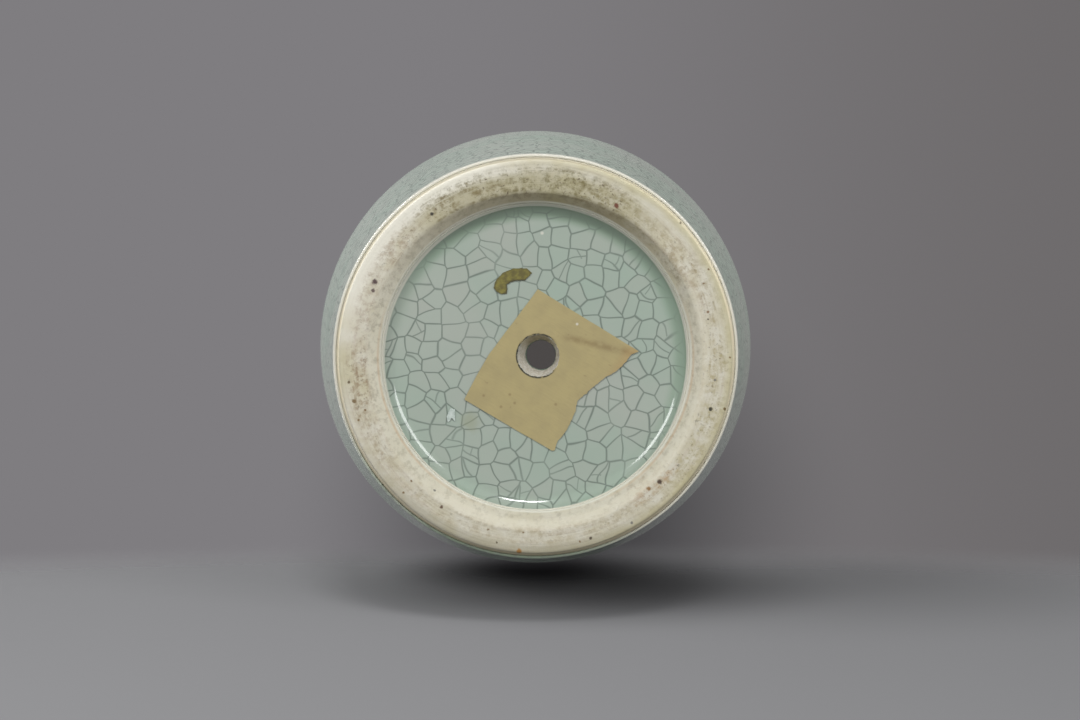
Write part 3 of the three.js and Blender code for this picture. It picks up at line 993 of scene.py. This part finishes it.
# Stains on the foot: heading and half its spread in degrees, radius, half the width there, colour, strength
STAINS = (
    (-94, 34, 0.0650, 0.0060, paint(106, 98, 56), 0.88),
    (-128, 26, 0.0650, 0.0045, paint(146, 130, 98), 0.45),
    (-165, 30, 0.0640, 0.0055, paint(166, 148, 130), 0.6),
    (164, 18, 0.0655, 0.0050, paint(140, 116, 82), 0.6),
    (-50, 24, 0.0635, 0.0045, paint(150, 138, 98), 0.5),
    (-15, 26, 0.0640, 0.0050, paint(164, 146, 120), 0.6),
    (18, 24, 0.0655, 0.0055, paint(178, 168, 124), 0.6),
    (12, 46, 0.0690, 0.0034, paint(158, 148, 108), 0.5),
    (47, 8, 0.0635, 0.0040, paint(178, 128, 80), 0.5),
    (96, 44, 0.0655, 0.0045, paint(156, 140, 104), 0.5),
)

# Where a stain starts and where it is full, in half spreads and half widths, and a speck in widths
STAIN_SPREAD = (1.4, 0.5)
STAIN_WIDTH = (1.3, 0.5)
SPECK_WIDTH = (0.6, 0.25)

# Tints of the resting face: colour, strength, radii of their fade, and side
FACE_TINTS = (
    (CLAY_YELLOW, 0.6, (0.069, 0.0725), (0, -0.6, 0.7)),
    (CLAY_WHITE, 0.75, (0.0655, 0.0695), (225, 0.672, 0.962)),
    (OLIVE, 0.5, (0.070, 0.066), (-90, 0.6, 0.93)),
)
SOIL_TINTS = ((SOIL, 0.5, (0.068, 0.071), (102, 0.55, 0.98)),)

# Tints of the bevel: colour, strength and sides. They are painted light and shade: paler on the left and
# right as painted light, darker on the lower side as painted shade, and grime with painted shade at the top
BEVEL_LIGHT_AND_SHADE = (
    (BEVEL_PALE, 0.65, ((180, -0.1, 0.6),)),
    (BEVEL_PALE, 0.5, ((0, 0.6, 1.0), (90, -0.6, -0.1))),
    (BEVEL_SHADE, 0.18, ((90, 0.0, 0.6),)),
    (GRIME_AND_SHADE, 0.3, ((-90, 0.4, 0.95),)),
)

# Lines round the foot: radii between which they show and how soft their ends are
WORN_EDGE_AND_HIGHLIGHT = (0.0605, 0.0637, 0.001)
RUST_LINE = (ring_inner + 0.0009, ring_inner + 0.0014, 0.0004)
PALE_LINE = (ring_inner - 0.001, ring_inner + 0.0005, 0.0003)

# Radii and heights between which the outer hem, the white rim and the bevel come in. The hem is painted
# darker on its upper side, as painted shade against the lamps' light on its rounded edge, and the white rim
# is painted light over the shaded crevice beside the glaze
HEM_SPAN = (FOOT_RADIUS - 0.0026, FOOT_RADIUS - 0.0018)
RIM_SPAN = (FOOT_RADIUS - 0.0016, FOOT_RADIUS - 0.0012)
BEVEL_SPAN = (FOOT_RADIUS - 0.006, FOOT_RADIUS - 0.008)
BEVEL_HEIGHTS = (0.0002, 0.0008)


def face_tints(mat, tints):
    for colour, strength, radii, side in tints:
        mat.coat(colour, mat.ring(*radii), mat.side(*side), strength)


def stain(mat, streak, grain, blots):
    """Stains in patches, with dots of grit."""
    broken = mat.fade(mat.noise(BREAK_SIZE, 2.0), 0.22, 0.5)
    patches = mat.times(mat.fade(blots, 0.40, 0.66), mat.fade(streak, 0.25, 0.55), broken)
    dots = mat.times(mat.fade(grain, 0.58, 0.7), broken)
    for degrees, half_spread, middle, half_width, colour, strength in STAINS:
        cosines = [math.cos(math.radians(half_spread) * share) for share in STAIN_SPREAD]
        widths = [half_width * share for share in STAIN_WIDTH]
        from_middle = mat.absolute(mat.minus(mat.radius, middle))
        place = mat.times(mat.side(degrees, *cosines), mat.fade(from_middle, *widths))
        mat.coat(colour, place, patches, strength)
        mat.coat(GRIT, place, dots, strength**2)


def tint_bevel(mat, blots):
    """The bevel's painted light and shade, with a worn edge outside it that is partly a painted highlight,
    and lines of rust and glaze inside, whose glaze line is whiter on the upper side as a painted highlight.
    """
    bevel = mat.times(mat.fade(mat.z, *BEVEL_HEIGHTS), mat.ring(*BEVEL_SPAN))
    # painted light and shade, side by side round the bevel
    for colour, strength, sides in BEVEL_LIGHT_AND_SHADE:
        mat.coat(colour, bevel, *[mat.side(*side) for side in sides], strength)
    mat.coat(SOIL, bevel, mat.fade(blots, 0.46, 0.68), 0.4)
    # a worn, paler edge outside the bevel, partly a painted highlight
    worn = mat.span(mat.radius, *WORN_EDGE_AND_HIGHLIGHT)
    mat.coat(BEVEL_PALE, worn, mat.side(0, -0.9, -0.3), mat.side(90, -0.6, -0.2), 0.5)
    rust = mat.span(mat.radius, *RUST_LINE)
    sideways = mat.fade(mat.absolute(mat.facing(0)), 0.2, 0.9)
    mat.coat(RUST, rust, sideways, mat.side(90, -0.5, 0.1), 0.4)
    # the pale glaze line, whiter on the upper side as a painted highlight
    pale_line_and_highlight = mat.mix(mat.side(*UPPER_SIDE), CELADON_THIN, EDGE_WHITE)
    mat.coat(pale_line_and_highlight, mat.span(mat.radius, *PALE_LINE), 0.9)


def speck(mat):
    ragged = mat.times(mat.minus(mat.noise(SPECK_RAGGED), 0.5), SPECK_RAGGED)
    for x, y, width, colour in SPECKS:
        away = mat.plus(mat.distance(mat.plan, (x, y, 0)), ragged)
        mat.coat(colour, mat.fade(away, *[width * share for share in SPECK_WIDTH]), 0.9)


def stain_foot(mat, streak, grain):
    """What years of standing and the glaze beside it have left on the foot, with painted light and shade on
    its bevel, hem and rim.
    """
    face_tints(mat, FACE_TINTS)
    blots = mat.noise(BLOT_SIZE, 6.0, 0.7)
    stain(mat, streak, grain, blots)
    face_tints(mat, SOIL_TINTS)
    tint_bevel(mat, blots)
    # painted shade: the hem is darker tan on the upper side, where the lamps light its rounded edge
    mat.coat(mat.mix(mat.side(*HEM_SIDE), HEM_PALE, HEM_TAN), mat.ring(*HEM_SPAN), 0.8)
    # painted light: white over the shaded crevice at the foot's outer edge, dimmed towards the bottom as
    # painted shade
    mat.coat(EDGE_WHITE, mat.ring(*RIM_SPAN), mat.choose(mat.side(*LOWER_LEFT), 0.5, 0.1))
    speck(mat)


def bare_clay(name, foot):
    """Fired clay, streaked by turning. On the foot it is stained too, and painted with light and shade."""
    mat = Finish(name, CLAY_PALE)
    mat.coat(CLAY_CREAM, mat.fade(mat.noise(MOTTLE_SIZE, 5.0), *EVEN))
    ringed = mat.scaled(mat.vectors("NORMALIZE", mat.plan)["Vector"], STREAK_RADIUS)
    ringed = mat.shift(ringed, mat.join(0.0, 0.0, mat.times(mat.radius, STREAK_CLOSENESS)))
    streak = mat.noise(STREAK_SIZE, place=ringed)
    mat.coat(CLAY_PINK, mat.fade(streak, 0.5, 0.75), 0.35)
    mat.coat(CLAY_YELLOW, mat.fade(mat.noise(BLUSH_SIZE, 2.0), 0.5, 0.7), 0.5)
    grain = mat.noise(GRAIN_SIZE, 4.0)
    if foot:
        stain_foot(mat, streak, grain)
    return mat.show(CLAY_ROUGHNESS, mat.plus(grain, streak), CLAY_BUMP)


# Drilled clay and luting slip
BORE_WHITE = paint(216, 212, 202)
BORE_GREY = paint(186, 178, 158)
BORE_TAN = paint(186, 172, 128)
BORE_TAN_SPAN = (BORE_AT[1] - 0.002, BORE_AT[1] - 0.006)
SCORE_SIZE = 0.0009
SLIP_PALE = paint(218, 212, 196)
SLIP_CREAM = paint(206, 199, 180)


def bore_clay():
    """Freshly drilled clay: white, chalky and scored by the drill."""
    mat = Finish("bore_clay", BORE_WHITE)
    score = mat.noise(SCORE_SIZE, 2.0, place=mat.join(0.0, 0.0, mat.z))
    grain = mat.noise(SCORE_SIZE, 4.0)
    mat.coat(BORE_GREY, mat.fade(grain, 0.35, 0.7))
    mat.coat(BORE_TAN, mat.fade(mat.y, *BORE_TAN_SPAN), 0.55)
    return mat.show(0.9, mat.plus(score, grain), 0.0002)


def slip():
    """Luting slip: fine pale clay."""
    mat = Finish("luting_slip", SLIP_PALE)
    mat.coat(SLIP_CREAM, mat.fade(mat.noise(0.004, 5.0), *EVEN))
    return mat.show(0.9, mat.noise(0.0008), 0.0001)


# Tape
TAPE_TAN = paint(176, 162, 116)
TAPE_DEEP = paint(160, 147, 108)
TAPE_STAIN = paint(126, 106, 70)
TAPE_TIP = paint(178, 142, 92)
TAPE_RIM = paint(42, 42, 36)
NICK = paint(214, 210, 196)
NICKS = ((0.0155, -0.0123, 0.0011), (0.0031, 0.0342, 0.0016))  # place and size across
TAPE_SPOTS = ((-0.0097, 0.0141), (-0.0079, 0.0173), (0.0075, 0.0178), (-0.0130, 0.0187), (-0.0195, 0.0145))
FIBRE_SIZE = 0.0008
FIBRE_DRAW = 0.15  # how fine the fibres are along the tape, as a share of across it
CREASE_SLOPE = 0.31
CREASE = (0.0150, 0.0172, 0.0014)  # where it starts and ends across the tape, and how softly
CREASE_START = (0.015, 0.022)  # and where it comes in along the tape
TIP_START = (0.037, 0.043)
TAPE_RIM_REACH = (BORE_FACE_RADIUS + 0.0008, BORE_FACE_RADIUS + 0.0003)
TAPE_RIM_SIDE = (BORE_AT[0] + 0.0075, BORE_AT[0] + 0.004)


def tape_paper():
    mat = Finish("tape_paper", TAPE_TAN)
    flat = mat.plan
    moved = mat.shift(flat, (-BORE_AT[0], -BORE_AT[1], 0))
    along, across, _ = mat.parts(mat.shift(mat.turned(moved, -TAPE_TURN), (*TAPE_HOLE, 0)))
    cloud = mat.noise(0.009, 4.0, place=flat)
    mat.coat(TAPE_DEEP, mat.fade(cloud, 0.35, 0.68), 0.5)
    fibre = mat.noise(FIBRE_SIZE, place=mat.join(mat.times(along, FIBRE_DRAW), across))
    mat.coat(TAPE_DEEP, mat.fade(fibre, 0.5, 0.75), 0.3)
    slope = mat.plus(across, mat.times(along, CREASE_SLOPE))
    crease = mat.times(mat.span(slope, *CREASE), mat.fade(along, *CREASE_START))
    mat.coat(TAPE_STAIN, crease, mat.fade(mat.noise(0.004, 4.0, place=flat), 0.3, 0.6), 0.6)
    mat.coat(TAPE_TIP, mat.fade(along, *TIP_START), 0.35)
    mat.coat(TAPE_STAIN, mat.fade(mat.noise(0.0022, 2.0, place=flat), 0.68, 0.76), 0.3)
    rim = mat.times(mat.around(BORE_AT, *TAPE_RIM_REACH), mat.fade(mat.x, *TAPE_RIM_SIDE))
    mat.coat(TAPE_RIM, rim, mat.fade(mat.noise(0.003, place=flat), 0.36, 0.5), 0.95)
    for x, y, width in NICKS:
        mat.coat(NICK, mat.around((x, y), width * 0.6, width * 0.3), 0.8)
    for spot in TAPE_SPOTS:
        mat.coat(TAPE_STAIN, mat.around(spot, 0.0008, 0.0002), 0.5)
    return mat.show(0.75, mat.plus(fibre, cloud), 0.00006)


# Label and fleck
LABEL_OLIVE = paint(128, 121, 56)
LABEL_BROWN = paint(94, 87, 42)
LABEL_DARK = paint(52, 48, 26)
FLECK_WHITE = paint(204, 214, 208)
FLECK_GREY = paint(182, 195, 187)


def label_paper():
    """Old paper soaked with glue, darkest along its inner edge."""
    mat = Finish("label_paper", LABEL_OLIVE)
    cloud = mat.noise(0.003, 5.0, place=mat.plan)
    mat.coat(LABEL_BROWN, mat.fade(cloud, 0.38, 0.62))
    edge = mat.add("ShaderNodeAttribute", attribute_name="edge").outputs["Fac"]
    mat.coat(LABEL_DARK, mat.fade(edge, 0.8, 1.0), 0.85)
    mat.coat(LABEL_DARK, mat.fade(edge, 0.15, 0.0), 0.45)
    return mat.show(0.6, cloud, 0.0001)


def fleck_paper():
    mat = Finish("fleck_paper", FLECK_WHITE)
    cloud = mat.noise(0.0012, 4.0)
    mat.coat(FLECK_GREY, mat.fade(cloud, 0.3, 0.7))
    return mat.show(0.8, cloud, 0.0002)


def dress(piece, node, material):
    """Puts a new piece in a CAD node's place, with its finish."""
    piece.data.materials.append(material)
    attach(piece, "root")
    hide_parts(node)


def coat_node(node, material):
    """Gives a CAD node that stays a finish."""
    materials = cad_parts[node].data.materials
    materials.clear()
    materials.append(material)


dress(make_outer_coat(), "outer_glaze", body_glaze())
dress(make_inner_coat(), "inner_glaze", inner_glaze())
dress(make_base_coat(), "base_glaze", base_glaze())
dress(make_foot(), "foot_ring", bare_clay("foot_clay", foot=True))
dress(make_disc(), "base_disc", bore_clay())
dress(make_tape(), "tape_patch", tape_paper())
dress(make_label(), "label_remnant", label_paper())
dress(make_fleck(), "paper_fleck", fleck_paper())

wall_clay = bare_clay("wall_clay", foot=False)
for node in ("lower_body", "upper_body", "neck"):
    coat_node(node, wall_clay)
luting = slip()
for node in ("base_slip", "foot_slip", "belly_slip", "neck_slip"):
    coat_node(node, luting)

# Room: pale round the vase, with a grey ceiling that is the backdrop when the vase is seen from below
PALE = paint(206, 206, 208)
CEILING = paint(127, 125, 128)
CEILING_RIGHT = paint(110, 107, 108)
RIGHT_SPAN = (-0.12, 0.4)  # headings towards +X between which the ceiling darkens
CEILING_AXIS = Vector((0, -0.4, 0.92)).normalized()
CEILING_SPAN = (0.5, 0.72)
SHADE = paint(40, 40, 42)
SHADE_AT = Vector((0.025, 0.143, 0.98)).normalized()  # behind the lying vase, low on the right
SHADE_REACH = 0.2
SHADE_SHARE = 0.85
FRONT_FILL = 0.43  # light that the room gives from the front, and less from the back
BACK_FILL = 0.07

# Floor that the vase stands on, and a grey card over its mouth that shows through the drilled hole, a dark
# sheet that stands in for the shaded backdrop there
FLOOR_HALF = 1.1
FLOOR_SOLID = 0.35
MIRROR_HOLE = 0.079  # radius under the vase inside which reflections miss the floor
MIRROR_SOFT = 0.001
CARD = paint(96, 92, 91)
CARD_AT = (0.0041, 0.02, 0.6)
CARD_HALF = 0.02
CARD_SOLID = 0.95

# Floor under the vase as it lies in the photograph
BLACK = paint(0, 0, 0)
LYING_FLOOR = paint(212, 212, 215)
LYING_UP = (0, -1, 0)
LYING_START = -0.15  # reach of the lying floor along the vase's axis, and half its width
LYING_END = 0.235
LYING_FAR = 0.7
LYING_SOLID = 0.62
LYING_HALF_WIDTH = 0.7
STRIP = 0.0013  # height of the lying floor's strips
STRIP_OVERLAP = 0.45  # step from strip to strip, as a share of what the camera sees past one
FLOOR_SPAN = (-0.3, 0.35)  # from the floor's light left to its darker right
FLOOR_FALL = 0.25
FLOOR_GLOW = 0.35  # share of the lying floor that a cast shadow does not darken, and how bright that is
FLOOR_LEVEL = 0.44

# Shade on that floor under the vase: its middle and reach along x and z, and how deep it is
UNDER = (
    (0.0, 0.150, 0.080, 0.074, 1.0),
    (0.022, 0.105, 0.125, 0.100, 0.72),
    (0.120, 0.120, 0.200, 0.140, 0.3),
)
UNDER_SOLID = 0.1

# Lamps: name, place, target, width, height and power
LAMPS = (
    ("left_box", (-0.72, -0.42, -0.86), (0, 0, 0), 0.43, 0.45, 4.2),
    ("right_box", (0.74, -0.4, -0.86), (0, 0, 0), 0.5, 0.5, 4.2),
    ("front_box", (0.075, -0.85, -0.86), (0, 0, 0), 0.26, 0.2, 4.6),
    ("key_box", (-1.6, -1.3, 1.2), (0, 0, 0.2), 0.95, 0.95, 53.0),
    ("side_box", (1.6, -1.25, 1.3), (0, 0, 0.2), 0.95, 0.95, 34.0),
    ("back_box", (-2.0, 0.65, 1.35), (0, 0, 0.15), 0.95, 0.95, 18.0),
)


def upright_matt(mat):
    """A plain matt sheet, and where it shows: not in reflections under the foot."""
    glossy = mat.add("ShaderNodeLightPath").outputs["Is Glossy Ray"]
    hole = mat.ring(MIRROR_HOLE, MIRROR_HOLE - MIRROR_SOFT)
    matt = mat.add("ShaderNodeBsdfDiffuse", {"Color": mat.colour})
    return matt.outputs[0], mat.minus(1.0, mat.times(glossy, hole))


def lying_matt(mat):
    """The lying floor, lit from over it, darker to the right and under the vase. It shows everywhere."""
    mat.coat(BLACK, mat.fade(mat.x, *FLOOR_SPAN), FLOOR_FALL)
    for x, z, reach_x, reach_z, depth in UNDER:
        from_x = mat.over(mat.minus(mat.x, x), reach_x)
        from_z = mat.over(mat.minus(mat.z, z), reach_z)
        mat.coat(BLACK, mat.fade(mat.distance(mat.join(from_x, from_z)), 1.0, UNDER_SOLID), depth)
    matt = mat.add("ShaderNodeBsdfDiffuse", {"Color": mat.colour, "Normal": mat.join(*LYING_UP)})
    glow = mat.add("ShaderNodeEmission", {"Color": mat.colour, "Strength": FLOOR_LEVEL})
    inputs = {0: FLOOR_GLOW, 1: matt.outputs[0], 2: glow.outputs[0]}
    return mat.add("ShaderNodeMixShader", inputs).outputs[0], 1.0


def stage_sheet(name, quads, middle, reach, solid, colour, matt=upright_matt, seen=True):
    """Flat sheets that show from the front only, cast no shadow and fade out from a solid share of their
    reach. One that is not seen by the camera still shows in reflections."""
    mesh = bpy.data.meshes.new(name)
    corners = [corner for sheet in quads for corner in sheet]
    mesh.from_pydata(corners, [], np.arange(len(corners)).reshape(-1, 4))
    mat = Finish(name, colour)
    moved = mat.shift(mat.place, [-m for m in middle])
    from_middle = mat.distance(mat.vectors("DIVIDE", moved, reach)["Vector"])
    back = mat.add("ShaderNodeNewGeometry").outputs["Backfacing"]
    surface, shown = matt(mat)
    share = mat.times(mat.fade(from_middle, 1.0, solid), mat.minus(1.0, back), shown)
    clear = mat.add("ShaderNodeBsdfTransparent")
    both = mat.add("ShaderNodeMixShader", {0: share, 1: clear.outputs[0], 2: surface})
    mat.links.new(both.outputs[0], mat.nodes["Material Output"].inputs["Surface"])
    mat.nodes.remove(mat.shader)
    mesh.materials.append(mat.material)
    stage = new_object(name, mesh)
    stage.visible_camera = seen
    stage.visible_diffuse = False
    stage.visible_shadow = False


def quad(middle, across, up):
    """A flat rectangle about its middle, with its front towards across x up."""
    middle, across, up = Vector(middle), Vector(across), Vector(up)
    return [middle - across - up, middle + across - up, middle + across + up, middle - across + up]


def standing_floor():
    sheet = quad((0, 0, 0), (FLOOR_HALF, 0, 0), (0, FLOOR_HALF, 0))
    stage_sheet("floor", [sheet], (0, 0, 0), (FLOOR_HALF, FLOOR_HALF, 1), FLOOR_SOLID, PALE)


def grey_card():
    # a grey card that stands in for the shaded backdrop seen through the hole
    sheet = quad(CARD_AT, (0, CARD_HALF, 0), (CARD_HALF, 0, 0))
    stage_sheet("grey_card", [sheet], CARD_AT, (CARD_HALF, CARD_HALF, 1), CARD_SOLID, CARD)


def lying_floor(camera):
    """A floor under the vase as it lies in the photograph. Its strips face the camera there, one behind the
    other, so that it is not a wall behind the vase as it stands. Its far part shows in reflections only."""
    z = LYING_START
    near = []
    far = []
    while z < LYING_FAR:
        strips = near if z < LYING_END else far
        middle = (0, BELLY_RADIUS + STRIP / 2, z)
        strips.append(quad(middle, (0, STRIP / 2, 0), (LYING_HALF_WIDTH, 0, 0)))
        z += STRIP_OVERLAP * STRIP * (z - camera.z) / (BELLY_RADIUS - camera.y)
    start = (0, BELLY_RADIUS, LYING_START)
    for name, strips, end in (("lying_floor", near, LYING_END), ("lying_floor_far", far, LYING_FAR)):
        reach = (LYING_HALF_WIDTH, 1, end - LYING_START)
        is_near = strips is near
        stage_sheet(name, strips, start, reach, LYING_SOLID, LYING_FLOOR, lying_matt, seen=is_near)


def light_world():
    """The room, as the camera and reflections see it, with an even fill on what it lights."""
    world = bpy.data.worlds.new("studio")
    bpy.context.scene.world = world
    painter = Painter(world)
    towards = painter.add("ShaderNodeTexCoord").outputs["Generated"]
    x, y, _ = painter.parts(towards)
    ceiling = painter.mix(painter.fade(x, *RIGHT_SPAN), CEILING, CEILING_RIGHT)
    shade = painter.fade(painter.distance(towards, SHADE_AT), SHADE_REACH, 0.0)
    ceiling = painter.mix(painter.times(shade, SHADE_SHARE), ceiling, SHADE)
    along = painter.vectors("DOT_PRODUCT", towards, CEILING_AXIS)["Value"]
    room = painter.mix(painter.fade(along, *CEILING_SPAN), PALE, ceiling)
    path = painter.add("ShaderNodeLightPath").outputs
    seen = painter.most(path["Is Camera Ray"], path["Is Glossy Ray"])
    seen = painter.most(seen, path["Is Transmission Ray"])
    inputs = {"Value": y, "From Min": -1.0, "To Min": FRONT_FILL, "To Max": BACK_FILL}
    fill = painter.add("ShaderNodeMapRange", inputs).outputs[0]
    painter.put(painter.nodes["Background"].inputs["Color"], painter.mix(seen, fill, room))


def softbox(name, place, target, width, tall, power):
    lamp = bpy.data.lights.new(name, "AREA")
    lamp.shape = "RECTANGLE"
    lamp.size = width
    lamp.size_y = tall
    lamp.energy = power
    light = new_object(name, lamp)
    light.location = place
    light.rotation_mode = "QUATERNION"
    light.rotation_quaternion = (Vector(target) - Vector(place)).to_track_quat("-Z", "Y")
    light.visible_camera = False


# Camera, as it stood for the photograph
PICTURE_WIDTH = 1080  # in pixels
FOCAL_PIXELS = 1491.1
FOOT_RIGHT = -4.3  # the foot's middle from the middle of the picture, in pixels
FOOT_UP = 2.24
CAMERA_DISTANCE = 0.55
CAMERA_TILT = math.radians(2.2)
CAMERA_SWING = math.radians(0.186)


def photo_camera():
    tilt, swing = CAMERA_TILT, CAMERA_SWING
    ahead = Vector((math.sin(swing) * math.cos(tilt), math.sin(tilt), math.cos(swing) * math.cos(tilt)))
    right = ahead.cross(Vector((0, -1, 0))).normalized()
    up = right.cross(ahead)
    pixel = CAMERA_DISTANCE / FOCAL_PIXELS
    lens = bpy.data.cameras.new("photo_camera")
    lens.lens = FOCAL_PIXELS / PICTURE_WIDTH * lens.sensor_width
    camera = new_object("photo_camera", lens)
    place = -CAMERA_DISTANCE * ahead - FOOT_RIGHT * pixel * right - FOOT_UP * pixel * up
    facing = Matrix((right, up, -ahead)).transposed().to_4x4()
    camera.matrix_world = Matrix.Translation(place) @ facing
    bpy.context.scene.camera = camera
    return place


camera_place = photo_camera()
standing_floor()
grey_card()
lying_floor(camera_place)
light_world()
for lamp in LAMPS:
    softbox(*lamp)

bpy.context.scene.view_settings.view_transform = "Standard"
